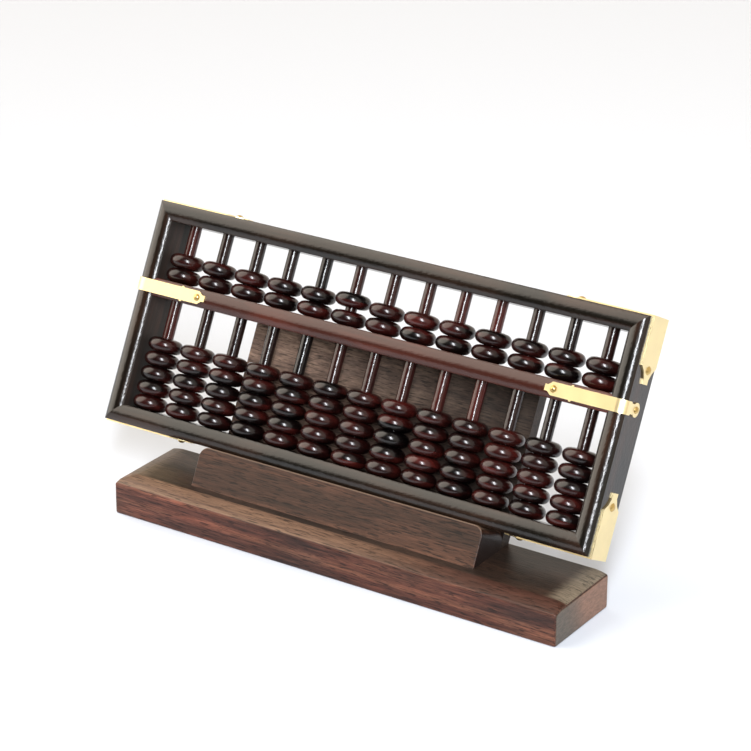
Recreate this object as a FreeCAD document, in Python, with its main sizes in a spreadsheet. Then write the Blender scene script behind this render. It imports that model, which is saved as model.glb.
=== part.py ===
import FreeCAD, Part
import math
import os
import Sketcher

App = FreeCAD
DOC = App.newDocument("Abacus")

# ---------------------------------------------------------------------------
# Driving dimensions, all in millimetres and degrees.
#
# The stand has its own frame: +X to the right, +Y to the back, +Z up, with the
# origin at the centre of the base's underside.  The abacus has a leaning frame:
# its x runs along the rails, its y from the front crest of the frame to the
# back and its z up the rods, with its zero at the lower left front corner.
# ---------------------------------------------------------------------------
SHEET = DOC.addObject("Spreadsheet::Sheet", "Sizes")
DIMENSIONS = [
    ("frame_length", 250.0, "outside length of the abacus frame"),
    ("frame_height", 101.5, "outside height of the abacus frame"),
    ("frame_depth", 18.5, "depth of rails and stiles"),
    ("member_width", 8.2, "face width of rails, stiles and beam"),
    ("member_rise", 1.9, "how far the rounded fronts of the members stand proud of their edges"),
    ("beam_height", 58.7, "underside of the beam above the frame's bottom"),
    ("beam_depth", 17.3, "depth of the beam"),
    ("beam_nose_start", 6.2, "where the beam's coped nose starts"),
    ("rod_diameter", 5.2, "rod"),
    ("rod_pitch", 17.9, "rod to rod"),
    ("rod_margin", 17.2, "outside of the frame to the first rod"),
    ("rod_depth", 9.25, "rod axis behind the frame's front crest"),
    ("rod_socket", 4.2, "depth of the blind sockets in the rails"),
    ("bead_diameter", 16.0, "bead"),
    ("bead_thickness", 6.65, "bead along the rod"),
    ("bead_spacing", 6.7, "bead to bead when stacked"),
    ("bead_bore", 5.8, "hole through a bead"),
    ("bead_flat", 6.6, "diameter of the flat round the hole"),
    ("bead_nose", 3.1, "radius of the bead's rim"),
    ("bead_rest", 0.05, "hair gap under a stack of beads"),
    ("parted_gap", 1.3, "gap under the upper heaven bead that rests parted"),
    ("plate_thickness", 0.7, "corner bracket sheet"),
    ("plate_front", 4.3, "front edge of a corner bracket"),
    ("plate_width", 13.8, "width of a corner bracket"),
    ("plate_tip", 4.6, "width of a bracket's tip"),
    ("side_leg", 27.7, "bracket leg on the stile"),
    ("side_shoulder", 20.3, "where the stile leg starts to narrow"),
    ("side_nail", 21.8, "nail on the stile leg"),
    ("rail_leg", 43.0, "bracket leg on the rail"),
    ("rail_shoulder", 35.0, "where the rail leg starts to narrow"),
    ("rail_nail", 37.0, "nail on the rail leg"),
    ("tip_run", 2.2, "parallel end of a bracket's tip"),
    ("hollow_in", 0.55, "hollow of a bracket's shoulder, across the leg"),
    ("hollow_back", 0.4, "hollow of a bracket's shoulder, along the leg"),
    ("nail_head", 3.8, "bracket nail head"),
    ("nail_rise", 1.1, "height of a nail's domed head"),
    ("nail_shank", 1.2, "nail shank diameter"),
    ("nail_reach", 3.4, "length of a bracket nail under its head"),
    ("nail_lap", 0.2, "how far a shank runs up into its head"),
    ("strap_thickness", 0.6, "beam strap sheet"),
    ("strap_width", 5.8, "width of a beam strap"),
    ("strap_reach", 37.5, "strap along the beam, from the frame's outside"),
    ("strap_nail", 33.4, "nail on the front of the strap"),
    ("strap_shoulder", 34.2, "where the strap starts to narrow"),
    ("strap_tip", 2.8, "width of the strap's tip"),
    ("strap_tip_run", 1.4, "parallel end of the strap's tip"),
    ("strap_nub_place", 25.0, "the nubs on the strap's edges"),
    ("strap_nub", 0.6, "radius of a nub"),
    ("strap_neck", 4.4, "neck of the strap on the stile's side"),
    ("strap_neck_start", 5.0, "front end of the neck"),
    ("strap_neck_step", 0.7, "slant from the strap's full width to its neck"),
    ("strap_boss", 6.2, "round end of the strap on the stile's side"),
    ("strap_boss_place", 9.6, "centre of the round end"),
    ("strap_nail_head", 3.2, "strap nail head"),
    ("strap_nail_reach", 4.6, "length of a strap nail under its head"),
    ("lean_angle", 27.0, "lean of the abacus from the vertical"),
    ("seat_gap", 0.1, "play between the abacus and the back panel"),
    ("abacus_offset", -11.4, "middle of the abacus from the middle of the base"),
    ("seat_offset", -7.9, "middle of the seat from the middle of the base"),
    ("abacus_forward", 0.2, "lower front edge of the abacus, from the base's middle"),
    ("abacus_raise", 32.4, "lower front edge of the abacus above the ground"),
    ("base_length", 226.0, "stand base"),
    ("base_depth", 43.5, "stand base"),
    ("base_height", 16.4, "stand base"),
    ("base_front_slope", 12.5, "width of the gently rounded front strip"),
    ("base_front_drop", 1.8, "fall of the front strip"),
    ("base_end_slope", 8.0, "width of the gently rounded end strips"),
    ("base_end_drop", 1.2, "fall of the end strips"),
    ("base_end_crease", 0.06, "the end strips' curve starts this far over the top, at a faint crease"),
    ("base_edge", 1.3, "radius of the base's top edges and upright corners"),
    ("base_foot_edge", 0.8, "radius of the base's bottom edges"),
    ("seat_length", 146.2, "support block and back panel"),
    ("seat_corner", 4.5, "radius of the block's upper corners"),
    ("seat_edge", 0.6, "radius of the block's front edges"),
    ("panel_thickness", 6.5, "back panel"),
    ("panel_height", 63.0, "back panel above the seat"),
]
VALUES = {}
for row, (alias, number, note) in enumerate(DIMENSIONS, start=1):
    SHEET.set("A%d" % row, note)
    SHEET.set("B%d" % row, repr(number))
    SHEET.setAlias("B%d" % row, alias)
    VALUES[alias] = number

ROD_COUNT = 13
PARTED_ROD = 6
EARTH_BEADS = 5


class Size:
    """A length together with the sheet expression that drives it."""

    def __init__(self, number, text):
        self.number = number
        self.text = text

    def __add__(self, other):
        return Size(self.number + plain(other), "(%s + %s)" % (self.text, words(other)))

    def __radd__(self, other):
        return Size(plain(other) + self.number, "(%s + %s)" % (words(other), self.text))

    def __sub__(self, other):
        return Size(self.number - plain(other), "(%s - %s)" % (self.text, words(other)))

    def __rsub__(self, other):
        return Size(plain(other) - self.number, "(%s - %s)" % (words(other), self.text))

    def __mul__(self, other):
        return Size(self.number * plain(other), "(%s * %s)" % (self.text, words(other)))

    def __truediv__(self, other):
        return Size(self.number / plain(other), "(%s / %s)" % (self.text, words(other)))

    def __neg__(self):
        return Size(-self.number, "(0 - %s)" % self.text)


def plain(value):
    return value.number if isinstance(value, Size) else float(value)


def root(value):
    return Size(math.sqrt(value.number), "sqrt(%s)" % value.text)


def sagitta_radius(run, rise):
    """Radius of the arc that rises by rise over run and ends level."""
    return (run * run + rise * rise) / (rise * 2)


def words(value):
    return value.text if isinstance(value, Size) else "(%r)" % float(value)


def size(alias):
    return Size(VALUES[alias], "Sizes.%s" % alias)


# ---------------------------------------------------------------------------
# Frames
# ---------------------------------------------------------------------------
LEAN = App.Placement(
    App.Vector(
        VALUES["abacus_offset"] - VALUES["frame_length"] / 2,
        VALUES["abacus_forward"],
        VALUES["abacus_raise"],
    ),
    App.Rotation(App.Vector(1, 0, 0), -VALUES["lean_angle"]),
)
SEAT = App.Placement(
    App.Vector(VALUES["seat_offset"], VALUES["abacus_forward"], VALUES["abacus_raise"]),
    App.Rotation(App.Vector(1, 0, 0), -VALUES["lean_angle"]),
)


def half_turn(axis, centre):
    """A half turn about an axis through a point of the leaning frame."""
    return App.Placement(App.Vector(0, 0, 0), App.Rotation(axis, 180), centre)


ALONG = App.Vector(1, 0, 0)
BACK = App.Vector(0, 1, 0)
UP = App.Vector(0, 0, 1)


# ---------------------------------------------------------------------------
# Sketch and feature helpers
# ---------------------------------------------------------------------------
def new_body(label, placement, compound=False):
    body = DOC.addObject("PartDesign::Body", label)
    body.Label = label
    body.AllowCompound = compound
    body.Placement = placement
    return body


def origin_feature(body, role):
    for feature in body.Origin.OriginFeatures:
        if feature.Role == role:
            return feature
    raise RuntimeError("no origin feature " + role)


def new_sketch(body, name, role, offset=None):
    """An empty sketch on one of the body's origin planes, moved along its normal."""
    sketch = body.newObject("Sketcher::SketchObject", body.Label + "_" + name)
    sketch.AttachmentSupport = [(origin_feature(body, role), "")]
    sketch.MapMode = "FlatFace"
    if offset is not None:
        sketch.AttachmentOffset = App.Placement(App.Vector(0, 0, plain(offset)), App.Rotation())
        sketch.setExpression("AttachmentOffset.Base.z", words(offset))
    return sketch


def pin_point(sketch, geometry, position, point):
    """Fix one point of the sketch at coordinates taken from the sheet."""
    for kind, axis, value in (("DistanceX", -2, point[0]), ("DistanceY", -1, point[1])):
        if isinstance(value, Size):
            made = sketch.addConstraint(
                Sketcher.Constraint(kind, -1, 1, geometry, position, value.number)
            )
            name = "d%d" % made
            sketch.renameConstraint(made, name)
            sketch.setExpression("Constraints." + name, value.text)
        elif value == 0:
            sketch.addConstraint(Sketcher.Constraint("PointOnObject", geometry, position, axis))
        elif value is not None:
            sketch.addConstraint(
                Sketcher.Constraint(kind, -1, 1, geometry, position, float(value))
            )


def arc_between(start, end, centre, clockwise):
    """A circular arc from start to end, and which of its ends is the start."""
    middle = App.Vector(plain(centre[0]), plain(centre[1]), 0)
    first = App.Vector(plain(start[0]), plain(start[1]), 0)
    last = App.Vector(plain(end[0]), plain(end[1]), 0)
    radius = (first - middle).Length
    if clockwise:
        first, last = last, first
    low = math.atan2(first.y - middle.y, first.x - middle.x)
    high = math.atan2(last.y - middle.y, last.x - middle.x)
    if high <= low:
        high += 2 * math.pi
    arc = Part.ArcOfCircle(Part.Circle(middle, UP, radius), low, high)
    return arc, (2, 1) if clockwise else (1, 2)


def outline(sketch, points, arcs=None):
    """A closed loop through points whose coordinates come from the sheet.

    arcs maps the number of a side to (centre, clockwise, fixed), where fixed is
    0 or 1 for the coordinate of the centre that is held by the sheet.
    """
    arcs = arcs or {}
    ends = []
    count = len(points)
    for side, start in enumerate(points):
        end = points[(side + 1) % count]
        if side in arcs:
            centre, clockwise, _ = arcs[side]
            curve, order = arc_between(start, end, centre, clockwise)
        else:
            curve = Part.LineSegment(
                App.Vector(plain(start[0]), plain(start[1]), 0),
                App.Vector(plain(end[0]), plain(end[1]), 0),
            )
            order = (1, 2)
        ends.append((sketch.addGeometry(curve, False), order))
    for side in range(count):
        here, order = ends[side]
        there, next_order = ends[(side + 1) % count]
        sketch.addConstraint(
            Sketcher.Constraint("Coincident", here, order[1], there, next_order[0])
        )
    for side, start in enumerate(points):
        geometry, order = ends[side]
        pin_point(sketch, geometry, order[0], start)
    for side, (centre, _, fixed) in arcs.items():
        geometry = ends[side][0]
        held = (centre[0], None) if fixed == 0 else (None, centre[1])
        pin_point(sketch, geometry, 3, held)
    return sketch


def circle(sketch, centre, radius):
    middle = App.Vector(plain(centre[0]), plain(centre[1]), 0)
    geometry = sketch.addGeometry(Part.Circle(middle, UP, radius.number), False)
    pin_point(sketch, geometry, 3, centre)
    made = sketch.addConstraint(Sketcher.Constraint("Radius", geometry, radius.number))
    sketch.renameConstraint(made, "r%d" % made)
    sketch.setExpression("Constraints.r%d" % made, radius.text)
    return sketch


def pad(body, sketch, length, reverse=False):
    feature = body.newObject("PartDesign::Pad", sketch.Name + "_pad")
    feature.Profile = sketch
    feature.Length = length.number
    feature.setExpression("Length", length.text)
    feature.Reversed = reverse
    DOC.recompute()
    return feature


def volume(body):
    DOC.recompute()
    return body.Shape.Volume


def pocket(body, sketch, length=None, reverse=False):
    """Cut a sketch out of the body, through everything when no length is given."""
    before = volume(body)
    feature = body.newObject("PartDesign::Pocket", sketch.Name + "_cut")
    feature.Profile = sketch
    if length is None:
        feature.Type = "ThroughAll"
        feature.SideType = "Symmetric"
    else:
        feature.Length = length.number
        feature.setExpression("Length", length.text)
        feature.Reversed = reverse
    if volume(body) > before - 1e-3:
        raise RuntimeError("%s cuts nothing" % feature.Name)
    return feature


def repeat_along(body, feature, role, step, count):
    """Repeat a feature in a row along one of the body's axes."""
    pattern = body.newObject("PartDesign::LinearPattern", feature.Name + "_row")
    pattern.Originals = [feature]
    pattern.Direction = (origin_feature(body, role), [""])
    length = step * (count - 1)
    pattern.Length = length.number
    pattern.setExpression("Length", length.text)
    pattern.Occurrences = count
    body.Tip = pattern
    DOC.recompute()
    return pattern


def round_edges(body, chosen, radius):
    """Fillet the edges of the body for which chosen(edge) is true."""
    DOC.recompute()
    tip = body.Tip
    names = [
        "Edge%d" % number
        for number, edge in enumerate(tip.Shape.Edges, start=1)
        if chosen(edge)
    ]
    if not names:
        raise RuntimeError("no edges to round on " + body.Label)
    fillet = body.newObject("PartDesign::Fillet", body.Label + "_round")
    fillet.Base = (tip, names)
    fillet.Radius = radius.number
    fillet.setExpression("Radius", radius.text)
    DOC.recompute()
    return fillet


# Often used sizes
LENGTH = size("frame_length")
HEIGHT = size("frame_height")
DEPTH = size("frame_depth")
WIDTH = size("member_width")
CREST = WIDTH / 2
RISE = size("member_rise")
BULGE = sagitta_radius(CREST, RISE)
ROD_DEPTH = size("rod_depth")
BEAM_LOW = size("beam_height")
BEAM_MID = BEAM_LOW + CREST
PLATE = size("plate_thickness")
PLATE_MID = size("plate_front") + size("plate_width") / 2
BEYOND = 30.0
CLEAR = 5.0
SKIN = 1.0
TOUCH = 0.01
MIDDLE = App.Vector(VALUES["frame_length"] / 2, PLATE_MID.number, VALUES["frame_height"] / 2)


# ---------------------------------------------------------------------------
# The frame: mitred rails and stiles with rounded fronts
# ---------------------------------------------------------------------------
def bullnose(low, depth, across_first):
    """The section of a member: rounded in front, square at the back."""
    corners = [(RISE, low + WIDTH), (RISE, low), (depth, low), (depth, low + WIDTH)]
    centre = (BULGE, low + CREST)
    if across_first:
        return corners, {0: (centre, False, 0)}
    swapped = [(across, along) for along, across in corners]
    return swapped, {0: ((centre[1], centre[0]), True, 1)}


def mitre_cuts(body, role, run):
    """Cut both ends of a member at 45 degrees, outside corner to inside corner."""
    for name, foot, head, beyond in (
        ("near", 0, WIDTH, -BEYOND),
        ("far", run, run - WIDTH, run + BEYOND),
    ):
        sketch = new_sketch(body, name + "_mitre", role)
        corners = [(foot, 0), (head, WIDTH), (head, WIDTH * 2), (beyond, WIDTH * 2), (beyond, 0)]
        if body.Label.endswith("stile"):
            corners = [(second, first) for first, second in corners]
        outline(sketch, corners)
        pocket(body, sketch)


def drill(body, name, role, offset, centre, diameter, depth, reverse=False):
    """A round hole from a plane parallel to one of the body's origin planes."""
    sketch = new_sketch(body, name, role, offset)
    circle(sketch, centre, diameter / 2)
    return pocket(body, sketch, depth, reverse)


def make_rail(label, placement, first_rod):
    body = new_body(label, placement)
    sketch = new_sketch(body, "section", "YZ_Plane")
    corners, arcs = bullnose(0, DEPTH, True)
    outline(sketch, corners, arcs)
    pad(body, sketch, LENGTH)
    mitre_cuts(body, "XZ_Plane", LENGTH)
    socket = drill(
        body, "socket", "XY_Plane", WIDTH,
        (first_rod, ROD_DEPTH), size("rod_diameter"), size("rod_socket"),
    )
    repeat_along(body, socket, "X_Axis", size("rod_pitch"), ROD_COUNT)
    for name, place in (("left", size("rail_nail")), ("right", LENGTH - size("rail_nail"))):
        drill(
            body, name + "_nail_hole", "XY_Plane", None,
            (place, PLATE_MID), size("nail_shank"), size("nail_reach") - PLATE, True,
        )
    return body


def make_stile(label, placement, strap_level):
    body = new_body(label, placement)
    sketch = new_sketch(body, "section", "XY_Plane")
    corners, arcs = bullnose(0, DEPTH, False)
    outline(sketch, corners, arcs)
    pad(body, sketch, HEIGHT)
    mitre_cuts(body, "XZ_Plane", HEIGHT)
    for name, place in (("low", size("side_nail")), ("high", HEIGHT - size("side_nail"))):
        drill(
            body, name + "_nail_hole", "YZ_Plane", None,
            (PLATE_MID, place), size("nail_shank"), size("nail_reach") - PLATE, True,
        )
    drill(
        body, "strap_nail_hole", "YZ_Plane", None,
        (size("strap_boss_place"), strap_level), size("nail_shank"),
        size("strap_nail_reach") - size("strap_thickness"), True,
    )
    return body


def make_beam():
    """The reckoning beam, coped round the inner halves of the stiles' fronts."""
    body = new_body("beam", LEAN)
    start = size("beam_nose_start")
    sketch = new_sketch(body, "section", "YZ_Plane", start)
    corners, arcs = bullnose(BEAM_LOW, size("beam_depth"), True)
    outline(sketch, corners, arcs)
    pad(body, sketch, LENGTH - start * 2)
    for name, crest, face, beyond, clockwise in (
        ("left", CREST, WIDTH, -BEYOND, False),
        ("right", LENGTH - CREST, LENGTH - WIDTH, LENGTH + BEYOND, True),
    ):
        cope = new_sketch(body, name + "_cope", "XY_Plane")
        corners = [(crest, 0), (face, RISE), (face, DEPTH), (beyond, DEPTH), (beyond, 0)]
        outline(cope, corners, {0: ((crest, BULGE), clockwise, 0)})
        pocket(body, cope)
    hole = new_sketch(body, "rod_hole", "XY_Plane")
    circle(hole, (size("rod_margin"), ROD_DEPTH), size("rod_diameter") / 2)
    first = pocket(body, hole)
    repeat_along(body, first, "X_Axis", size("rod_pitch"), ROD_COUNT)
    for name, place in (("left", size("strap_nail")), ("right", LENGTH - size("strap_nail"))):
        drill(
            body, name + "_nail_hole", "XZ_Plane", None,
            (place, BEAM_MID), size("nail_shank"),
            size("strap_nail_reach") - size("strap_thickness"), False,
        )
    return body


def make_rods():
    """Thirteen round rods, from the bottom rail's sockets to the top rail's."""
    body = new_body("rods", LEAN, compound=True)
    low = WIDTH - size("rod_socket")
    sketch = new_sketch(body, "section", "XY_Plane", low)
    circle(sketch, (size("rod_margin"), ROD_DEPTH), size("rod_diameter") / 2)
    first = pad(body, sketch, HEIGHT - low * 2)
    repeat_along(body, first, "X_Axis", size("rod_pitch"), ROD_COUNT)
    return body


# ---------------------------------------------------------------------------
# Beads
# ---------------------------------------------------------------------------
def bead_section(body):
    """Half a bead: flats round the bore, full shoulders and a rounded rim."""
    half = size("bead_thickness") / 2
    flat = size("bead_flat") / 2
    bore = size("bead_bore") / 2
    rim = size("bead_diameter") / 2 - size("bead_nose")
    nose = size("bead_nose")
    run = rim.number - flat.number
    shoulder = (run ** 2 + half.number ** 2 - nose.number ** 2) / (2 * (half.number - nose.number))
    reach = shoulder - nose.number
    touch_x = rim.number + nose.number * run / reach
    touch_z = nose.number * (shoulder - half.number) / reach
    low = half.number - touch_z
    high = half.number + touch_z
    top = 2 * half.number
    sketch = new_sketch(body, "section", "XZ_Plane")

    def line(start, end):
        segment = Part.LineSegment(App.Vector(start[0], start[1], 0), App.Vector(end[0], end[1], 0))
        return sketch.addGeometry(segment, False)

    def arc(start, end, centre):
        return sketch.addGeometry(arc_between(start, end, centre, False)[0], False)

    floor = line((bore.number, 0), (flat.number, 0))
    lower = arc((flat.number, 0), (touch_x, low), (flat.number, shoulder))
    tip = arc((touch_x, low), (touch_x, high), (rim.number, half.number))
    upper = arc((touch_x, high), (flat.number, top), (flat.number, top - shoulder))
    roof = line((flat.number, top), (bore.number, top))
    wall = line((bore.number, top), (bore.number, 0))
    loop = [floor, lower, tip, upper, roof, wall]
    for here, there in zip(loop[:-2], loop[1:-1]):
        sketch.addConstraint(Sketcher.Constraint("Tangent", here, 2, there, 1))
    sketch.addConstraint(Sketcher.Constraint("Coincident", roof, 2, wall, 1))
    sketch.addConstraint(Sketcher.Constraint("Coincident", wall, 2, floor, 1))
    sketch.addConstraint(Sketcher.Constraint("Horizontal", floor))
    sketch.addConstraint(Sketcher.Constraint("Horizontal", roof))
    sketch.addConstraint(Sketcher.Constraint("Vertical", wall))
    pin_point(sketch, floor, 1, (bore, 0))
    pin_point(sketch, wall, 1, (None, size("bead_thickness")))
    pin_point(sketch, floor, 2, (flat, None))
    pin_point(sketch, roof, 1, (flat, None))
    pin_point(sketch, tip, 3, (rim, None))
    made = sketch.addConstraint(Sketcher.Constraint("Radius", tip, nose.number))
    sketch.renameConstraint(made, "nose")
    sketch.setExpression("Constraints.nose", nose.text)
    return sketch


def make_beads(label, rod, level, count=1):
    """Beads threaded on a rod, their lowest face at a level of the leaning frame."""
    along = VALUES["rod_margin"] + VALUES["rod_pitch"] * (rod - 1)
    seat = App.Placement(App.Vector(along, VALUES["rod_depth"], level), App.Rotation())
    body = new_body(label, LEAN.multiply(seat), compound=count > 1)
    turned = body.newObject("PartDesign::Revolution", label + "_turning")
    turned.Profile = bead_section(body)
    turned.ReferenceAxis = (turned.Profile[0], ["V_Axis"])
    turned.Angle = 360
    DOC.recompute()
    if count > 1:
        repeat_along(body, turned, "Z_Axis", size("bead_spacing"), count)
    return body


# ---------------------------------------------------------------------------
# Brass
# ---------------------------------------------------------------------------
def make_bracket(label, placement):
    """A bent corner plate: both legs narrow with hollow shoulders to a nailed tip."""
    body = new_body(label, placement)
    front = size("plate_front")
    back = front + size("plate_width")
    sketch = new_sketch(body, "section", "XZ_Plane", -back)
    corners = [
        (-PLATE, -PLATE), (size("rail_leg"), -PLATE), (size("rail_leg"), 0),
        (0, 0), (0, size("side_leg")), (-PLATE, size("side_leg")),
    ]
    outline(sketch, corners)
    pad(body, sketch, size("plate_width"))
    tip_front = PLATE_MID - size("plate_tip") / 2
    tip_back = PLATE_MID + size("plate_tip") / 2
    for leg, end, shoulder, role, offset in (
        ("side", size("side_leg"), size("side_shoulder"), "YZ_Plane", -PLATE - SKIN),
        ("rail", size("rail_leg"), size("rail_shoulder"), "XY_Plane", -PLATE - SKIN),
    ):
        for name, edge, tip, beyond in (
            ("front", front, tip_front, front - CLEAR),
            ("back", back, tip_back, back + CLEAR),
        ):
            cut = new_sketch(body, "%s_%s_shoulder" % (leg, name), role, offset)
            neck = end - size("tip_run")
            middle = ((edge + tip) / 2, (shoulder + neck) / 2)
            inward = size("hollow_in") if name == "front" else -size("hollow_in")
            hollow = (middle[0] + inward, middle[1] - size("hollow_back"))
            corners = [
                (beyond, shoulder), (edge, shoulder), hollow,
                (tip, neck), (tip, end + CLEAR), (beyond, end + CLEAR),
            ]
            if leg == "rail":
                corners = [(second, first) for first, second in corners]
            outline(cut, corners)
            pocket(body, cut, PLATE + SKIN, True)
    drill(
        body, "side_hole", "YZ_Plane", -PLATE - SKIN, (PLATE_MID, size("side_nail")),
        size("nail_shank"), PLATE + SKIN, True,
    )
    drill(
        body, "rail_hole", "XY_Plane", -PLATE - SKIN, (size("rail_nail"), PLATE_MID),
        size("nail_shank"), PLATE + SKIN, True,
    )
    return body


def make_strap(label, placement):
    """A beam strap: along the beam, round the stile's front and onto its side."""
    body = new_body(label, placement)
    sheet = size("strap_thickness")
    half = size("strap_width") / 2
    nub = size("strap_nub")
    reach = size("strap_reach")
    boss = size("strap_boss") / 2
    boss_place = size("strap_boss_place")
    tall = boss + SKIN
    sketch = new_sketch(body, "section", "XY_Plane", BEAM_MID - tall)
    outer = BULGE + sheet
    bend = BULGE - root(outer * outer - (CREST + sheet) * (CREST + sheet))
    corners = [
        (CREST, 0), (0, RISE), (0, boss_place + boss), (-sheet, boss_place + boss),
        (-sheet, bend), (CREST, -sheet), (reach, -sheet), (reach, 0),
    ]
    centre = (CREST, BULGE)
    outline(sketch, corners, {0: (centre, True, 0), 4: (centre, False, 0)})
    pad(body, sketch, tall * 2)
    nub_place = size("strap_nub_place")
    for name, way in (("upper", 1), ("lower", -1)):
        edge = BEAM_MID + half * way
        far = BEAM_MID + (tall + CLEAR) * way
        tip = BEAM_MID + size("strap_tip") / 2 * way
        front = new_sketch(body, name + "_front", "XZ_Plane", -CREST)
        corners = [
            (CREST, edge), (nub_place - nub, edge), (nub_place + nub, edge),
            (size("strap_shoulder"), edge), (reach - size("strap_tip_run"), tip),
            (reach + CLEAR, tip), (reach + CLEAR, far), (CREST, far),
        ]
        outline(front, corners, {1: ((nub_place, edge), way > 0, 1)})
        pocket(body, front, sheet + CREST + SKIN, True)
        side = new_sketch(body, name + "_side", "YZ_Plane", -sheet - SKIN)
        neck = size("strap_neck") / 2
        start = size("strap_neck_start")
        meet = boss_place - root(boss * boss - neck * neck)
        past = boss_place + boss
        level = BEAM_MID + neck * way
        corners = [
            (-CLEAR, edge), (start - size("strap_neck_step"), edge), (start, level), (meet, level),
            (past, BEAM_MID), (past + CLEAR, BEAM_MID), (past + CLEAR, far), (-CLEAR, far),
        ]
        outline(side, corners, {3: ((boss_place, BEAM_MID), way > 0, 0)})
        pocket(body, side, CREST + sheet + SKIN, True)
    drill(
        body, "front_hole", "XZ_Plane", -CREST, (size("strap_nail"), BEAM_MID),
        size("nail_shank"), CREST + sheet + SKIN, True,
    )
    drill(
        body, "side_hole", "YZ_Plane", -sheet - SKIN, (boss_place, BEAM_MID),
        size("nail_shank"), sheet + SKIN * 1.5, True,
    )
    return body


def make_nails(label, places, head, reach):
    """Round-headed nails, each given by its head's seat and its outward direction."""
    nails = []
    rise = size("nail_rise")
    sphere = (head * head / 4 + rise * rise) / (rise * 2)
    for number, (seat, outward) in enumerate(places, start=1):
        dome = DOC.addObject("Part::Sphere", "%s_dome_%d" % (label, number))
        dome.setExpression("Radius", sphere.text)
        dome.setExpression("Angle1", "asin((%s - %s) / %s)" % (sphere.text, rise.text, sphere.text))
        dome.setExpression("Placement.Base.z", "%s - %s" % (rise.text, sphere.text))
        shank = DOC.addObject("Part::Cylinder", "%s_shank_%d" % (label, number))
        shank.setExpression("Radius", (size("nail_shank") / 2).text)
        shank.setExpression("Height", (reach + size("nail_lap")).text)
        shank.setExpression("Placement.Base.z", (-reach).text)
        nail = DOC.addObject("Part::Fuse", "%s_nail_%d" % (label, number))
        nail.Base = dome
        nail.Tool = shank
        turn = App.Rotation(UP, outward)
        nail.Placement = LEAN.multiply(App.Placement(seat, turn))
        nails.append(nail)
    group = DOC.addObject("Part::Compound", label)
    group.Label = label
    group.Links = nails
    return group


# ---------------------------------------------------------------------------
# The stand
# ---------------------------------------------------------------------------
def make_base():
    """A heavy foot whose top falls away gently at the front and at both ends."""
    front = size("base_depth") / -2
    back = size("base_depth") / 2
    top = size("base_height")
    slope = size("base_front_slope")
    drop = size("base_front_drop")
    half = size("base_length") / 2
    body = new_body("stand_base", App.Placement())
    sketch = new_sketch(body, "section", "YZ_Plane", -half)
    corners = [(front, 0), (back, 0), (back, top), (front + slope, top), (front, top - drop)]
    centre = (front + slope, top - sagitta_radius(slope, drop))
    outline(sketch, corners, {3: (centre, False, 0)})
    pad(body, sketch, size("base_length"))
    slope = size("base_end_slope")
    fall = size("base_end_drop")
    crease = size("base_end_crease")
    for name, way in (("left", -1), ("right", 1)):
        end = half * way
        inner = (half - slope) * way
        cut = new_sketch(body, name + "_slope", "XZ_Plane")
        corners = [(inner, top + crease), (end, top - fall), (end, top + CLEAR), (inner, top + CLEAR)]
        centre = (inner, top + crease - sagitta_radius(slope, fall + crease))
        outline(cut, corners, {0: (centre, way > 0, 0)})
        pocket(body, cut)
    reach = VALUES["base_length"] / 2 - TOUCH
    deep = VALUES["base_depth"] / 2 - TOUCH
    high = VALUES["base_height"]

    def upper_or_corner(edge):
        box = edge.BoundBox
        on_end = min(abs(box.XMin), abs(box.XMax)) > reach
        on_long = box.YMin > deep or box.YMax < -deep
        upright = on_end and box.YLength < TOUCH and box.ZMin < TOUCH and box.ZLength > high / 2
        rim = box.ZMin > high / 2 and (on_end or on_long)
        return upright or rim

    def foot(edge):
        return edge.BoundBox.ZMax < TOUCH

    round_edges(body, upper_or_corner, size("base_edge"))
    round_edges(body, foot, size("base_foot_edge"))


def cut_to_base(body):
    """Cut a leaning piece off level with the top of the base."""
    slant = math.tan(math.radians(VALUES["lean_angle"]))
    drop = Size(
        (VALUES["abacus_raise"] - VALUES["base_height"]) / math.cos(math.radians(VALUES["lean_angle"])),
        "((Sizes.abacus_raise - Sizes.base_height) / cos(Sizes.lean_angle * 1deg))",
    )

    def level(back):
        rise = Size(plain(back) * slant, "(%s * tan(Sizes.lean_angle * 1deg))" % words(back))
        return rise - drop

    near = -BEYOND
    far = BEYOND * 2
    sketch = new_sketch(body, "foot", "YZ_Plane")
    corners = [(near, level(near)), (near, -far), (far, -far), (far, level(far))]
    outline(sketch, corners)
    pocket(body, sketch)


def seat_board(label, front, thickness, low, high):
    """A leaning board of the seat with its two upper corners rounded."""
    body = new_body(label, SEAT)
    half = size("seat_length") / 2
    corner = size("seat_corner")
    sketch = new_sketch(body, "face", "XZ_Plane", -front - thickness)
    corners = [
        (-half, low), (half, low), (half, high - corner), (half - corner, high),
        (corner - half, high), (-half, high - corner),
    ]
    arcs = {
        2: ((half - corner, high - corner), False, 0),
        4: ((corner - half, high - corner), False, 0),
    }
    outline(sketch, corners, arcs)
    pad(body, sketch, thickness)
    cut_to_base(body)
    return body


def make_seat():
    depth = DEPTH + size("seat_gap")
    block = seat_board("support_block", 0, depth, -BEYOND, 0)

    def front_edge(edge):
        box = edge.BoundBox
        level = block.Tip.Shape.BoundBox.ZMin + SKIN
        return box.YMax < TOUCH and box.ZMax > level

    round_edges(block, front_edge, size("seat_edge"))
    seat_board("back_panel", depth, size("panel_thickness"), -BEYOND, size("panel_height"))


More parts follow.
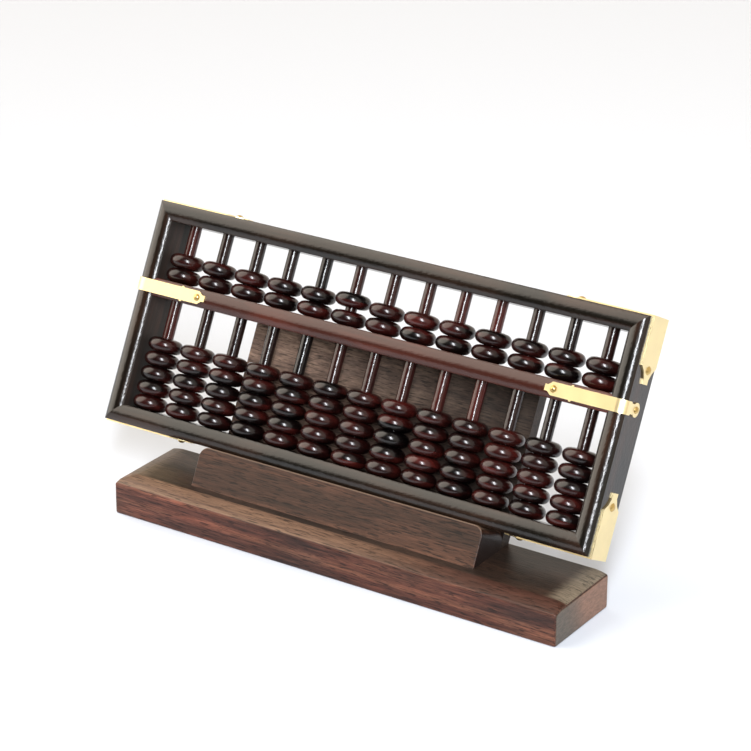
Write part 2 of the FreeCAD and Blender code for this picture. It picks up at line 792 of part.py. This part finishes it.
# ---------------------------------------------------------------------------
# Assembly
# ---------------------------------------------------------------------------
def build():
    over = LEAN.multiply(half_turn(BACK, MIDDLE))
    last_rod = size("rod_margin") + size("rod_pitch") * (ROD_COUNT - 1)
    make_rail("bottom_rail", LEAN, size("rod_margin"))
    make_rail("top_rail", over, LENGTH - last_rod)
    make_stile("left_stile", LEAN, BEAM_MID)
    make_stile("right_stile", over, HEIGHT - BEAM_MID)
    make_beam()
    make_rods()

    make_bracket("bottom_left_bracket", LEAN)
    make_bracket("bottom_right_bracket", LEAN.multiply(half_turn(UP, MIDDLE)))
    make_bracket("top_left_bracket", LEAN.multiply(half_turn(ALONG, MIDDLE)))
    make_bracket("top_right_bracket", over)
    beam_middle = App.Vector(VALUES["frame_length"] / 2, 0, BEAM_MID.number)
    make_strap("left_beam_strap", LEAN)
    make_strap("right_beam_strap", LEAN.multiply(half_turn(BACK, beam_middle)))

    bracket_places = []
    strap_places = []
    for side, outward in ((0, -ALONG), (1, ALONG)):
        face = side * VALUES["frame_length"] + outward.x * VALUES["plate_thickness"]
        along = side * VALUES["frame_length"] - outward.x * VALUES["rail_nail"]
        for end, away in ((0, -UP), (1, UP)):
            up = end * VALUES["frame_height"] - away.z * VALUES["side_nail"]
            bracket_places.append((App.Vector(face, PLATE_MID.number, up), outward))
            skin = end * VALUES["frame_height"] + away.z * VALUES["plate_thickness"]
            bracket_places.append((App.Vector(along, PLATE_MID.number, skin), away))
        face = side * VALUES["frame_length"] + outward.x * VALUES["strap_thickness"]
        along = side * VALUES["frame_length"] - outward.x * VALUES["strap_nail"]
        level = BEAM_MID.number
        strap_places.append((App.Vector(face, VALUES["strap_boss_place"], level), outward))
        strap_places.append((App.Vector(along, -VALUES["strap_thickness"], level), -BACK))
    make_nails("bracket_nails", bracket_places, size("nail_head"), size("nail_reach"))
    make_nails("strap_nails", strap_places, size("strap_nail_head"), size("strap_nail_reach"))

    stacked = VALUES["bead_spacing"]
    rest = VALUES["bead_rest"]
    for rod in range(1, ROD_COUNT + 1):
        floor = BEAM_LOW.number + VALUES["member_width"] + rest
        parted = VALUES["parted_gap"] if rod == PARTED_ROD else 0.0
        make_beads("earth_beads_%02d" % rod, rod, VALUES["member_width"] + rest, EARTH_BEADS)
        make_beads("lower_heaven_bead_%02d" % rod, rod, floor)
        make_beads("upper_heaven_bead_%02d" % rod, rod, floor + stacked + parted)

    make_base()
    make_seat()


def nodes():
    """The sub-parts: every body and every compound, by label."""
    kinds = ("PartDesign::Body", "Part::Compound")
    return [thing for thing in DOC.Objects if thing.TypeId in kinds]


def check():
    DOC.recompute()
    for thing in DOC.Objects:
        if "Invalid" in thing.State or "Error" in thing.State:
            raise RuntimeError("%s is %s" % (thing.Name, thing.State))
    for node in nodes():
        if node.Shape.isNull() or not node.Shape.isValid() or not node.Shape.Solids:
            raise RuntimeError("%s has no valid shape" % node.Label)


def export():
    os.makedirs("parts", exist_ok=True)
    for node in nodes():
        node.Shape.exportStep("parts/%s.step" % node.Label)


build()
check()
export()
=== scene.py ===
import math

import bpy
from mathutils import Matrix, Vector


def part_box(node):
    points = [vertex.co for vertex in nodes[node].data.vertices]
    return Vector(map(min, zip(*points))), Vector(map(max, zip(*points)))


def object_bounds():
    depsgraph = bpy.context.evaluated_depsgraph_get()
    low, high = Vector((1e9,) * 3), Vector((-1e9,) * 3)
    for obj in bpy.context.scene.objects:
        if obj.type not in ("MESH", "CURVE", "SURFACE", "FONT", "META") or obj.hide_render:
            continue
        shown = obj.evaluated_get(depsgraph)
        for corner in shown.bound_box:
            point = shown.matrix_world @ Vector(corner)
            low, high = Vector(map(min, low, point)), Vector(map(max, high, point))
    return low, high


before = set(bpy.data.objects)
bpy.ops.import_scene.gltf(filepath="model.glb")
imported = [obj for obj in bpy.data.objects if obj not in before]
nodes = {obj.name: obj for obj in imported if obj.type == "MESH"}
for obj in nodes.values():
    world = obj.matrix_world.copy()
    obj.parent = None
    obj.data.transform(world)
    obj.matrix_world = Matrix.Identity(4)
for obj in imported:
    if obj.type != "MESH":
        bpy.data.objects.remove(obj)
cad_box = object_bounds()

# All lengths are metres and all angles written here are degrees.
# The abacus leans back; in its own frame x runs along the rails, y to the back and z up the rods.
LEAN = math.radians(27.0)

# Rods and beads: each rod is a column, and each bead spacing up the rods is a level.
ROD_COUNT = 13
ROD_DIAMETER = 0.0052
BEAD_SPACING = 0.0067
rods_low, rods_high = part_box("rods")
FIRST_ROD_X = rods_low[0] + ROD_DIAMETER / 2
ROD_PITCH = (rods_high[0] - rods_low[0] - ROD_DIAMETER) / (ROD_COUNT - 1)
BEAD_SEED = 3.0
ROD_SEED = 7.0

# Frame: the stiles are matt on the faces turned inward, within this reach of the middle.
STILE_OUTER_PART = 0.0080
rail_low, rail_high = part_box("bottom_rail")
FRAME_MIDDLE = (rail_low[0] + rail_high[0]) / 2
INNER_REACH = (rail_high[0] - rail_low[0]) / 2 - STILE_OUTER_PART
NO_REACH = 0.0
MATT_STEP = 0.5

# Stand base: a painted highlight strip along the rounded front edge of its top, sharply bounded and
# slightly wandering.
base_low, base_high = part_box("stand_base")
BASE_HALF = (base_high[0] - base_low[0]) / 2
FRONT_STRIP = base_low[1] + 0.0125
STRIP_EDGE = 0.0015
STRIP_WANDER = 0.004
END_STRIP_INNER = 0.0125
END_STRIP_OUTER = 0.0045

# Colours of the lacquered frame and of the brass.
DARK = (0.004, 0.003, 0.0018)
RAIL_WARM = (0.032, 0.014, 0.008)
BEAM_DARK = (0.038, 0.009, 0.0055)
BEAM_WARM = (0.115, 0.023, 0.013)
SHEET_BRASS = (0.90, 0.75, 0.42)
NAIL_BRASS = (0.62, 0.43, 0.16)

# Colours of the stand's woods: dark, middle and light figure.
BASE_FIGURE = ((0.026, 0.0105, 0.0080), (0.054, 0.0190, 0.0125), (0.098, 0.041, 0.025))
BLOCK_FIGURE = ((0.026, 0.0128, 0.0082), (0.047, 0.0208, 0.0128), (0.076, 0.0330, 0.0195))
PANEL_FIGURE = ((0.040, 0.026, 0.020), (0.066, 0.042, 0.031), (0.094, 0.062, 0.045))
END_GREY = (0.092, 0.076, 0.060)
END_RED = (0.200, 0.112, 0.076)
# Painted highlight along the base top's rounded front edge, and the plainer colour where it fades to
# the right.
STRIP_PAINTED_HIGHLIGHT = ((0.115, 0.064, 0.042), (0.235, 0.138, 0.085))
STRIP_PLAIN = ((0.026, 0.012, 0.009), (0.060, 0.024, 0.016))
# The base top is painted darker: partly its own polished tone, partly painted shade under the abacus.
TOP_TONE_AND_PAINTED_SHADE = ((0.016, 0.010, 0.0075), (0.040, 0.022, 0.015))
RIGHT_END_TAN = (0.150, 0.120, 0.088)
LEFT_END_TAN = (0.100, 0.068, 0.050)
# Block end faces: darker end grain and painted shade under the abacus overhang.
BLOCK_END_GRAIN_AND_SHADE = (0.012, 0.0065, 0.0055)
# Painted highlight on the block's rounded upper edge.
BLOCK_EDGE_HIGHLIGHT = (0.12, 0.075, 0.05)

# Camera.
CAMERA_PLACE = (0.6256, -0.9289, 0.5631)
CAMERA_TURN = math.radians(33.49)
CAMERA_TILT = math.radians(90.0 - 23.10)
CAMERA_ROLL = math.radians(0.20)
SENSOR_WIDTH = 36.0
FOCAL_LENGTH = 139.3

# Floor: white paper that ends this far in front of the middle, toward the camera.
FLOOR_SIZE = 8.0
FLOOR_FRONT = 0.18
FLOOR_GAP = 0.00005
FLOOR_COLOUR = (0.60, 0.635, 0.70, 1.0)

# Room, as strengths, aims (right of and above the front) and cosines of each light's two edges.
SEEN_BACKDROP = (0.955, 0.96, 0.96, 1.0)
ROOM_COLOUR = (1.0, 0.915, 0.80, 1.0)
DARK_ROOM = 0.05
BACKDROP = 1.0
BACKDROP_AIM = (180.0, 0.0)
BACKDROP_EDGE = (0.0, 0.3)
SOFTBOX = 3.4
SOFTBOX_AIM = (-80.0, 32.0)
SOFTBOX_EDGE = (0.69, 0.79)
FILL = 0.8
FILL_AIM = (95.0, 25.0)
FILL_EDGE = (0.55, 0.80)

# Key light: a tall softbox at the front right.
KEY_PLACE = (0.68, -0.98, 0.98)
KEY_AIM = (0.0, 0.0, 0.08)
KEY_WIDTH = 0.27
KEY_HEIGHT = 0.95
KEY_POWER = 34.0
KEY_COLOUR = (0.93, 0.96, 1.0)


# ---------------------------------------------------------------------------
# Node helpers
# ---------------------------------------------------------------------------
class Shader:
    """A small builder for one material's nodes."""

    def __init__(self, name):
        self.material = bpy.data.materials.new(name)
        self.material.use_nodes = True
        self.tree = self.material.node_tree
        self.tree.nodes.clear()
        self.output = self.tree.nodes.new("ShaderNodeOutputMaterial")
        self.surface = self.tree.nodes.new("ShaderNodeBsdfPrincipled")
        self.link(self.surface.outputs["BSDF"], self.output.inputs["Surface"])

    def link(self, source, target):
        self.tree.links.new(source, target)

    def put(self, target, value):
        """Feed a socket from another socket or with a plain value."""
        if isinstance(value, bpy.types.NodeSocket):
            self.link(value, target)
        else:
            target.default_value = value

    def set(self, **values):
        """Set the surface shader's sockets, by name with underscores for spaces."""
        for name, value in values.items():
            self.put(self.surface.inputs[name.replace("_", " ")], value)

    def coordinates(self, turn=0.0):
        """Object coordinates, turned about X to follow the leaning frame."""
        source = self.tree.nodes.new("ShaderNodeTexCoord")
        mapping = self.tree.nodes.new("ShaderNodeMapping")
        mapping.inputs["Rotation"].default_value = (turn, 0.0, 0.0)
        self.link(source.outputs["Object"], mapping.inputs["Vector"])
        return mapping.outputs["Vector"]

    def facing(self):
        """The surface's direction, as its parts along X, Y and Z."""
        geometry = self.tree.nodes.new("ShaderNodeNewGeometry")
        return self.split(geometry.outputs["Normal"])

    def vector(self, operation, first, second):
        node = self.tree.nodes.new("ShaderNodeVectorMath")
        node.operation = operation
        self.put(node.inputs[0], first)
        self.put(node.inputs[1], second)
        return node.outputs["Vector"]

    def scaled(self, vector, scale):
        return self.vector("MULTIPLY", vector, scale)

    def split(self, vector):
        node = self.tree.nodes.new("ShaderNodeSeparateXYZ")
        self.link(vector, node.inputs[0])
        return node.outputs[0], node.outputs[1], node.outputs[2]

    def join(self, across, deep, high):
        node = self.tree.nodes.new("ShaderNodeCombineXYZ")
        for target, value in zip(node.inputs, (across, deep, high)):
            self.put(target, value)
        return node.outputs[0]

    def math(self, operation, first, second=0.0, third=0.0):
        node = self.tree.nodes.new("ShaderNodeMath")
        node.operation = operation
        for target, value in zip(node.inputs, (first, second, third)):
            self.put(target, value)
        return node.outputs[0]

    def span(self, value, low, high):
        """Nought below low, one above high and smooth between."""
        node = self.tree.nodes.new("ShaderNodeMapRange")
        node.interpolation_type = "SMOOTHSTEP"
        self.put(node.inputs["Value"], value)
        node.inputs["From Min"].default_value = low
        node.inputs["From Max"].default_value = high
        return node.outputs["Result"]

    def inverse(self, value):
        return self.math("SUBTRACT", 1.0, value)

    def noise(self, place, scale, detail=3.0, rough=0.5, distort=0.0):
        """Noise whose scale is given for each axis."""
        node = self.tree.nodes.new("ShaderNodeTexNoise")
        self.link(self.scaled(place, scale), node.inputs["Vector"])
        node.inputs["Scale"].default_value = 1.0
        node.inputs["Detail"].default_value = detail
        node.inputs["Roughness"].default_value = rough
        node.inputs["Distortion"].default_value = distort
        return node.outputs["Fac"]

    def shifted_noise(self, place, scale, seed, reach, detail, rough=0.5, distort=0.0):
        """Noise moved aside by a random colour, so that each place it marks has its own figure."""
        moved = self.vector("ADD", self.scaled(place, scale), self.scaled(seed, (reach, reach, reach)))
        return self.noise(moved, (1.0, 1.0, 1.0), detail, rough, distort)

    def random(self, vector):
        """A random number and a random colour for each whole-number place."""
        node = self.tree.nodes.new("ShaderNodeTexWhiteNoise")
        self.link(vector, node.inputs["Vector"])
        return node.outputs["Value"], node.outputs["Color"]

    def ramp(self, factor, *stops):
        """A colour ramp; a stop's colour may be one number, for a grey."""
        node = self.tree.nodes.new("ShaderNodeValToRGB")
        self.link(factor, node.inputs["Fac"])
        points = node.color_ramp.elements
        while len(points) < len(stops):
            points.new(0.5)
        for point, (place, colour) in zip(points, stops):
            if not isinstance(colour, tuple):
                colour = (colour, colour, colour)
            point.position = place
            point.color = (*colour, 1.0)
        return node.outputs["Color"]

    def mix(self, factor, first, second, blend="MIX"):
        node = self.tree.nodes.new("ShaderNodeMix")
        node.data_type = "RGBA"
        node.blend_type = blend
        self.put(node.inputs["Factor"], factor)
        colour_inputs = [socket for socket in node.inputs if socket.type == "RGBA"]
        for target, value in zip(colour_inputs, (first, second)):
            self.put(target, (*value, 1.0) if isinstance(value, tuple) else value)
        return next(socket for socket in node.outputs if socket.type == "RGBA")

    def times(self, first, second):
        return self.mix(1.0, first, second, "MULTIPLY")

    def bump(self, height, strength, distance):
        node = self.tree.nodes.new("ShaderNodeBump")
        node.inputs["Strength"].default_value = strength
        node.inputs["Distance"].default_value = distance
        self.link(height, node.inputs["Height"])
        self.link(node.outputs["Normal"], self.surface.inputs["Normal"])

    def column(self, across):
        """The number of the rod that a place across the frame belongs to."""
        from_first = self.math("SUBTRACT", across, FIRST_ROD_X)
        return self.math("ROUND", self.math("DIVIDE", from_first, ROD_PITCH))


# ---------------------------------------------------------------------------
# Lacquered and polished woods
# ---------------------------------------------------------------------------
def grain_scale(direction, along, across):
    """A scale that is small along the grain and large across it."""
    return tuple(along if axis == direction else across for axis in "xyz")


def lacquered_rosewood(name, direction, dark, warm, roughness, inner_reach):
    """Near-black rosewood under lacquer along the grain, left matt within the inner reach."""
    shader = Shader(name)
    place = shader.coordinates(LEAN)
    figure = shader.noise(place, grain_scale(direction, 9.0, 220.0), 5.0, 0.6)
    clouds = shader.noise(place, grain_scale(direction, 20.0, 60.0), 2.0)
    peel = shader.noise(place, grain_scale(direction, 480.0, 820.0), 2.0)
    colour = shader.ramp(figure, (0.38, dark), (0.66, warm))
    colour = shader.mix(shader.ramp(clouds, (0.4, 0.0), (0.6, 1.0)), colour, dark)
    across, _, _ = shader.split(place)
    from_middle = shader.math("ABSOLUTE", shader.math("SUBTRACT", across, FRAME_MIDDLE))
    inside = shader.math("LESS_THAN", from_middle, inner_reach)
    shader.set(
        Base_Color=colour,
        Roughness=shader.math("MULTIPLY_ADD", inside, MATT_STEP, roughness),
        IOR=1.5,
    )
    shader.bump(peel, 0.30, 0.0003)
    return shader.material


def bead_rosewood():
    """Each bead has its own mix of black-brown and deep red, figured across the rod."""
    shader = Shader("bead_rosewood_gloss")
    place = shader.coordinates(LEAN)
    across, _, high = shader.split(place)
    level = shader.math("FLOOR", shader.math("DIVIDE", high, BEAD_SPACING))
    number, seed = shader.random(shader.join(shader.column(across), level, BEAD_SEED))
    figure = shader.shifted_noise(place, (60.0, 190.0, 330.0), seed, 40.0, 4.0, 0.6, 0.6)
    patch = shader.shifted_noise(place, (70.0, 70.0, 120.0), seed, 90.0, 2.0)
    base = shader.ramp(
        number,
        (0.0, (0.0025, 0.0016, 0.0016)),
        (0.35, (0.005, 0.0018, 0.0017)),
        (0.7, (0.013, 0.0026, 0.0022)),
        (1.0, (0.032, 0.0042, 0.0034)),
    )
    lively = shader.ramp(patch, (0.46, (0.0, 0.0, 0.0)), (0.70, (0.034, 0.0046, 0.0034)))
    colour = shader.mix(1.0, base, lively, "ADD")
    colour = shader.times(colour, shader.ramp(figure, (0.35, 0.35), (0.6, 1.0)))
    shader.set(Base_Color=colour, Roughness=0.23, IOR=1.5)
    shader.bump(figure, 0.14, 0.0002)
    return shader.material


def rod_rosewood():
    """Dark round rods; some are redder than others, all with fine long grain."""
    shader = Shader("rod_rosewood_polish")
    place = shader.coordinates(LEAN)
    across, _, _ = shader.split(place)
    number, _ = shader.random(shader.join(shader.column(across), 1.0, ROD_SEED))
    base = shader.ramp(
        number,
        (0.0, (0.004, 0.003, 0.003)),
        (0.5, (0.014, 0.005, 0.004)),
        (1.0, (0.060, 0.010, 0.008)),
    )
    figure = shader.noise(place, (1400.0, 1400.0, 45.0), 4.0, 0.6)
    peel = shader.noise(place, (900.0, 900.0, 520.0), 2.0)
    colour = shader.times(base, shader.ramp(figure, (0.3, 0.55), (0.7, 1.25)))
    shader.set(Base_Color=colour, Roughness=0.17, IOR=1.5)
    shader.bump(peel, 0.3, 0.0003)
    return shader.material


# ---------------------------------------------------------------------------
# Waxed woods of the stand
# ---------------------------------------------------------------------------
def grained(shader, place, stretch, figure, contrast):
    """Open-grained rosewood along x: long streaks, fine flecks and short dark pores."""
    dark, middle, light = figure
    bands = shader.noise(place, (5.0 * stretch, 130.0, 130.0), 6.0, 0.7, 0.8)
    fine = shader.noise(place, (55.0 * stretch, 1000.0, 1000.0), 4.0, 0.75)
    pores = shader.noise(place, (150.0, 1700.0, 1700.0), 2.0)
    colour = shader.ramp(bands, (0.36, dark), (0.5, middle), (0.64, light))
    faint = 1.0 - 0.75 * contrast
    strong = 1.0 + 0.9 * contrast
    colour = shader.times(colour, shader.ramp(fine, (0.34, faint), (0.5, 1.0), (0.66, strong)))
    pitted = shader.ramp(pores, (0.37, 0.3), (0.44, 1.0))
    shader.bump(pores, 0.25, 0.0003)
    return shader.times(colour, pitted), bands, fine, pitted


def base_sides(shader, place, colour, end_grain):
    """The foot's front with its red and dark moods, and its sawn ends, greyer toward the front."""
    along, deep, _ = shader.split(place)
    mood = shader.noise(place, (22.0, 60.0, 90.0), 2.0)
    colour = shader.times(
        colour, shader.ramp(mood, (0.38, (0.68, 0.77, 0.82)), (0.60, (1.13, 1.04, 1.00)))
    )
    cloud = shader.noise(place, (20.0, 40.0, 45.0), 2.0)
    rays = shader.noise(place, (200.0, 420.0, 1300.0), 3.0, 0.6)
    toward_back = shader.span(deep, -0.020, 0.014)
    blend = shader.math("MULTIPLY_ADD", toward_back, 0.5, shader.math("MULTIPLY", cloud, 0.5))
    sawn = shader.ramp(blend, (0.33, END_GREY), (0.66, END_RED))
    sawn = shader.times(sawn, shader.ramp(rays, (0.35, 0.78), (0.65, 1.22)))
    colour = shader.mix(end_grain, colour, sawn)
    sapwood = shader.ramp(shader.span(along, -0.105, -0.02), (0.0, 2.1), (1.0, 1.0))
    return shader.times(colour, sapwood)


def base_top(shader, place, bands, fine, pitted):
    """The foot's top: polished, painted dark partly as its own tone and partly as painted shade under
    the abacus, with a painted highlight strip along the front edge fading to the right and tan ends.
    """
    along, deep, _ = shader.split(place)
    from_end = shader.math("SUBTRACT", BASE_HALF, shader.math("ABSOLUTE", along))
    faded = shader.inverse(shader.span(along, -0.03, 0.07))
    wander = shader.math("MULTIPLY_ADD", bands, STRIP_WANDER, deep)
    # Painted highlight: a tan strip along the rounded front edge, fading toward the right.
    front_highlight_mask = shader.inverse(shader.span(wander, FRONT_STRIP - STRIP_EDGE, FRONT_STRIP))
    tan = shader.ramp(bands, (0.36, STRIP_PAINTED_HIGHLIGHT[0]), (0.6, STRIP_PAINTED_HIGHLIGHT[1]))
    plain = shader.ramp(bands, (0.36, STRIP_PLAIN[0]), (0.6, STRIP_PLAIN[1]))
    strip = shader.mix(faded, plain, tan)
    end_strip = shader.inverse(shader.span(from_end, END_STRIP_OUTER, END_STRIP_INNER))
    # Painted shade: the top's body is painted darker than the sides, partly as its own tone.
    cloud = shader.noise(place, (16.0, 70.0, 70.0))
    shade = shader.ramp(cloud, (0.35, TOP_TONE_AND_PAINTED_SHADE[0]), (0.65, TOP_TONE_AND_PAINTED_SHADE[1]))
    end_tan = shader.mix(faded, RIGHT_END_TAN, LEFT_END_TAN)
    top = shader.mix(end_strip, shade, end_tan)
    top = shader.mix(front_highlight_mask, top, strip)
    top = shader.times(top, shader.ramp(fine, (0.34, 0.72), (0.66, 1.28)))
    return shader.times(top, pitted)


def base_rosewood():
    """The foot: figured front, sawn ends and a polished top painted darker, partly as painted shade,
    with a painted highlight along its front edge and tan ends.
    """
    shader = Shader("base_rosewood_wax")
    place = shader.coordinates()
    colour, bands, fine, pitted = grained(shader, place, 1.0, BASE_FIGURE, 0.75)
    facing_end, _, facing_up = shader.facing()
    level = shader.span(facing_up, 0.75, 0.95)
    end_grain = shader.span(shader.math("ABSOLUTE", facing_end), 0.80, 0.97)
    sides = base_sides(shader, place, colour, end_grain)
    top = base_top(shader, place, bands, fine, pitted)
    shader.set(
        Base_Color=shader.mix(level, sides, top),
        Roughness=shader.math("MULTIPLY_ADD", level, -0.08, 0.42),
        IOR=1.48,
        Specular_IOR_Level=0.28,
    )
    return shader.material


def block_rosewood():
    """The support block: brown figured front, a painted highlight on its upper edge, and end faces
    painted darker as end grain and as painted shade under the abacus overhang.
    """
    shader = Shader("block_rosewood_wax")
    place = shader.coordinates(LEAN)
    colour, _, _, _ = grained(shader, place, 1.3, BLOCK_FIGURE, 0.5)
    facing_end, _, facing_up = shader.facing()
    end_grain = shader.span(shader.math("ABSOLUTE", facing_end), 0.80, 0.97)
    # Painted highlight along the block's rounded upper edge.
    upper = shader.span(facing_up, 0.60, 0.75)
    edge_highlight = shader.math("MULTIPLY", upper, shader.inverse(end_grain))
    # End faces painted darker: end grain and painted shade under the abacus overhang.
    colour = shader.mix(end_grain, colour, BLOCK_END_GRAIN_AND_SHADE)
    colour = shader.mix(edge_highlight, colour, BLOCK_EDGE_HIGHLIGHT)
    shader.set(Base_Color=colour, Roughness=0.42, IOR=1.48, Specular_IOR_Level=0.35)
    return shader.material


def panel_rosewood():
    """The back panel: matt and dashed with pores, painted lighter at the left and darker at the right
    as painted light from a near light at the left.
    """
    shader = Shader("panel_rosewood_wax")
    place = shader.coordinates(LEAN)
    colour, _, _, _ = grained(shader, place, 3.0, PANEL_FIGURE, 0.55)
    along, _, _ = shader.split(place)
    # Painted light: lighter at the left end, darker at the right, as from a near light at the left.
    shade = shader.ramp(shader.span(along, -0.085, 0.07), (0.0, 2.5), (0.5, 1.05), (1.0, 0.4))
    shader.set(
        Base_Color=shader.times(colour, shade),
        Roughness=0.55,
        IOR=1.48,
        Specular_IOR_Level=0.3,
    )
    return shader.material


# ---------------------------------------------------------------------------
# Brass
# ---------------------------------------------------------------------------
def polished_brass(name, colour, roughness):
    """Bright brass with faint rolling marks, handling haze and a few tarnished specks."""
    shader = Shader(name)
    place = shader.coordinates(LEAN)
    haze = shader.noise(place, (120.0, 120.0, 120.0))
    marks = shader.noise(place, (300.0, 2500.0, 2500.0), 2.0)
    specks = shader.noise(place, (330.0, 330.0, 330.0), 5.0, 0.75)
    hazed = tuple(part * 0.93 for part in colour)
    clean = shader.ramp(haze, (0.35, hazed), (0.65, colour))
    stain = shader.ramp(specks, (0.66, (1.0, 1.0, 1.0)), (0.74, (0.72, 0.58, 0.36)))
    shader.set(
        Base_Color=shader.times(clean, stain),
        Metallic=1.0,
        Roughness=shader.math("MULTIPLY_ADD", haze, 0.12, roughness - 0.06),
    )
    shader.bump(marks, 0.06, 0.0002)
    return shader.material


def finish(names, material):
    """Give the named nodes one material."""
    for name in names:
        mesh = nodes[name].data
        mesh.materials.clear()
        mesh.materials.append(material)


# ---------------------------------------------------------------------------
# Floor, lights and camera
# ---------------------------------------------------------------------------
def add_floor():
    """White paper that ends just in front of the object, where the dark room begins."""
    toward_camera = Vector((math.sin(CAMERA_TURN), -math.cos(CAMERA_TURN), 0.0))
    middle = toward_camera * (FLOOR_FRONT - FLOOR_SIZE / 2)
    bpy.ops.mesh.primitive_plane_add(
        size=FLOOR_SIZE,
        location=(middle.x, middle.y, cad_box[0][2] - FLOOR_GAP),
        rotation=(0.0, 0.0, CAMERA_TURN),
    )
    floor = bpy.context.object
    floor.name = "studio_floor"
    material = bpy.data.materials.new("studio_paper")
    material.use_nodes = True
    surface = material.node_tree.nodes["Principled BSDF"]
    surface.inputs["Base Color"].default_value = FLOOR_COLOUR
    surface.inputs["Roughness"].default_value = 0.9
    floor.data.materials.append(material)


def add_key():
    """A tall rectangular softbox facing the aim point, unseen by the camera itself."""
    light = bpy.data.lights.new("key", "AREA")
    light.shape = "RECTANGLE"
    light.size = KEY_WIDTH
    light.size_y = KEY_HEIGHT
    light.energy = KEY_POWER
    light.color = KEY_COLOUR
    lamp = bpy.data.objects.new("key", light)
    lamp.location = KEY_PLACE
    lamp.rotation_euler = (Vector(KEY_AIM) - Vector(KEY_PLACE)).to_track_quat("-Z", "Y").to_euler()
    lamp.visible_camera = False
    bpy.context.scene.collection.objects.link(lamp)


def add_world():
    """A pale backdrop behind, a great softbox to the left, a fill at the right and a dim room."""
    world = bpy.data.worlds.new("studio_surround")
    bpy.context.scene.world = world
    world.use_nodes = True
    tree = world.node_tree
    tree.nodes.clear()
    output = tree.nodes.new("ShaderNodeOutputWorld")
    place = tree.nodes.new("ShaderNodeTexCoord")

    def toward(azimuth, elevation):
        """How nearly a direction points along one given in degrees, right of and above the front."""
        turn = math.radians(azimuth)
        rise = math.radians(elevation)
        node = tree.nodes.new("ShaderNodeVectorMath")
        node.operation = "DOT_PRODUCT"
        tree.links.new(place.outputs["Generated"], node.inputs[0])
        node.inputs[1].default_value = (
            math.sin(turn) * math.cos(rise),
            -math.cos(turn) * math.cos(rise),
            math.sin(rise),
        )
        return node.outputs["Value"]

    def lit(aim, edge, outside, inside):
        """A round soft-edged light in one direction."""
        node = tree.nodes.new("ShaderNodeMapRange")
        node.interpolation_type = "SMOOTHSTEP"
        tree.links.new(toward(*aim), node.inputs["Value"])
        node.inputs["From Min"].default_value = edge[0]
        node.inputs["From Max"].default_value = edge[1]
        node.inputs["To Min"].default_value = outside
        node.inputs["To Max"].default_value = inside
        return node.outputs["Result"]

    def brighter(first, second):
        node = tree.nodes.new("ShaderNodeMath")
        node.operation = "MAXIMUM"
        tree.links.new(first, node.inputs[0])
        tree.links.new(second, node.inputs[1])
        return node.outputs[0]

    left = lit(SOFTBOX_AIM, SOFTBOX_EDGE, DARK_ROOM, SOFTBOX)
    behind = lit(BACKDROP_AIM, BACKDROP_EDGE, DARK_ROOM, BACKDROP)
    right = lit(FILL_AIM, FILL_EDGE, 0.0, FILL)
    around = tree.nodes.new("ShaderNodeBackground")
    around.inputs["Color"].default_value = ROOM_COLOUR
    tree.links.new(brighter(brighter(left, behind), right), around.inputs["Strength"])
    seen = tree.nodes.new("ShaderNodeBackground")
    seen.inputs["Color"].default_value = SEEN_BACKDROP
    seen.inputs["Strength"].default_value = 1.0
    rays = tree.nodes.new("ShaderNodeLightPath")
    choice = tree.nodes.new("ShaderNodeMixShader")
    tree.links.new(rays.outputs["Is Camera Ray"], choice.inputs[0])
    tree.links.new(around.outputs[0], choice.inputs[1])
    tree.links.new(seen.outputs[0], choice.inputs[2])
    tree.links.new(choice.outputs[0], output.inputs["Surface"])


def add_camera():
    lens = bpy.data.cameras.new("view_camera")
    lens.sensor_width = SENSOR_WIDTH
    lens.lens = FOCAL_LENGTH
    camera = bpy.data.objects.new("view_camera", lens)
    camera.location = CAMERA_PLACE
    turn = Matrix.Rotation(CAMERA_TURN, 4, "Z")
    tilt = Matrix.Rotation(CAMERA_TILT, 4, "X")
    roll = Matrix.Rotation(CAMERA_ROLL, 4, "Z")
    camera.rotation_euler = (turn @ tilt @ roll).to_euler()
    bpy.context.scene.collection.objects.link(camera)
    bpy.context.scene.camera = camera


# ---------------------------------------------------------------------------
# The scene
# ---------------------------------------------------------------------------
finish(
    ["top_rail", "bottom_rail"],
    lacquered_rosewood("rail_rosewood_lacquer", "x", DARK, RAIL_WARM, 0.22, NO_REACH),
)
finish(
    ["left_stile", "right_stile"],
    lacquered_rosewood("stile_rosewood_lacquer", "z", DARK, RAIL_WARM, 0.2, INNER_REACH),
)
finish(
    ["beam"],
    lacquered_rosewood("beam_rosewood_lacquer", "x", BEAM_DARK, BEAM_WARM, 0.24, NO_REACH),
)
finish(["rods"], rod_rosewood())
finish([name for name in nodes if "_bead" in name], bead_rosewood())
finish(["stand_base"], base_rosewood())
finish(["support_block"], block_rosewood())
finish(["back_panel"], panel_rosewood())
finish(
    [name for name in nodes if name.endswith(("_bracket", "_strap"))],
    polished_brass("sheet_brass_polish", SHEET_BRASS, 0.35),
)
finish(["bracket_nails", "strap_nails"], polished_brass("nail_brass_polish", NAIL_BRASS, 0.3))

bpy.context.scene.view_settings.view_transform = "Standard"
add_floor()
add_world()
add_camera()
add_key()
